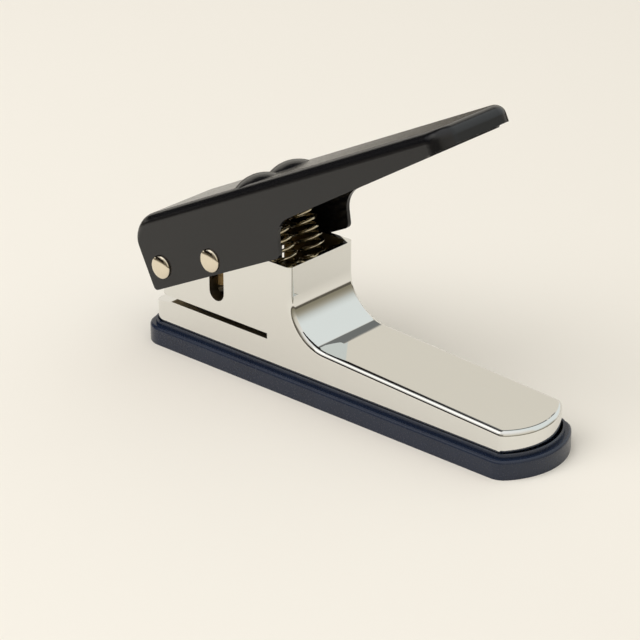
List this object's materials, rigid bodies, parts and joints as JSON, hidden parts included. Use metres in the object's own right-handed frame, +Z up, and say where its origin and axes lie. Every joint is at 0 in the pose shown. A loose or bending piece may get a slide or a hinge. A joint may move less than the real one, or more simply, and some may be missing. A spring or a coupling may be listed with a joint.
{
  "type": "guitar pick punch",
  "caption": "Hand punch that cuts guitar picks out of plastic cards: a sprung black lever drives a pick-shaped punch through a slot in a chromed frame on a navy tray.",
  "frame": {"origin": "centre of the base tray's underside, on the surface that the punch stands on", "axes": "+X from the hinged end towards the rounded nose, +Y across, away from the side that the picture shows, +Z up"},
  "size_m": [0.1654, 0.0386, 0.1076],
  "materials": {
    "chrome": "polished plating",
    "tool_steel": "ground",
    "black_enamel": "satin",
    "nickel": "polished plating",
    "spring_steel": "drawn wire",
    "navy_plastic": "satin"
  },
  "bodies": {
    "tray": {"base_tray": "navy_plastic"},
    "frame": {"frame_casting": "chrome", "die_plate": "tool_steel", "die_screws": "tool_steel", "die_dowels": "tool_steel", "pivot_pin": "nickel", "pivot_pin_cap": "nickel", "spring_near": "spring_steel", "spring_far": "spring_steel"},
    "lever": {"lever": "black_enamel", "drive_pin": "nickel", "drive_pin_cap": "nickel"},
    "punch": {"punch_carrier": "tool_steel", "punch_blade": "tool_steel", "punch_screws": "tool_steel"}
  },
  "joints": [
    {"name": "frame_lift", "type": "slide", "parent": "tray", "child": "frame", "axis": [0, 0, 1], "range_m": [0, 0.012]},
    {"name": "lever_hinge", "type": "hinge", "parent": "frame", "child": "lever", "pos_m": [-0.0717, 0, 0.0294], "axis": [0, 1, 0], "range_deg": [0, 26.5], "stiffness_Nm_per_rad": 10, "springref_deg": -2.86, "deforming": ["spring_near", "spring_far"]},
    {"name": "punch_slide", "type": "slide", "parent": "frame", "child": "punch", "axis": [0, 0, -1], "range_m": [0, 0.0112]}
  ],
  "couplings": [
    {"joint": "punch_slide", "follows": "lever_hinge", "m_per_rad": 0.02404}
  ]
}
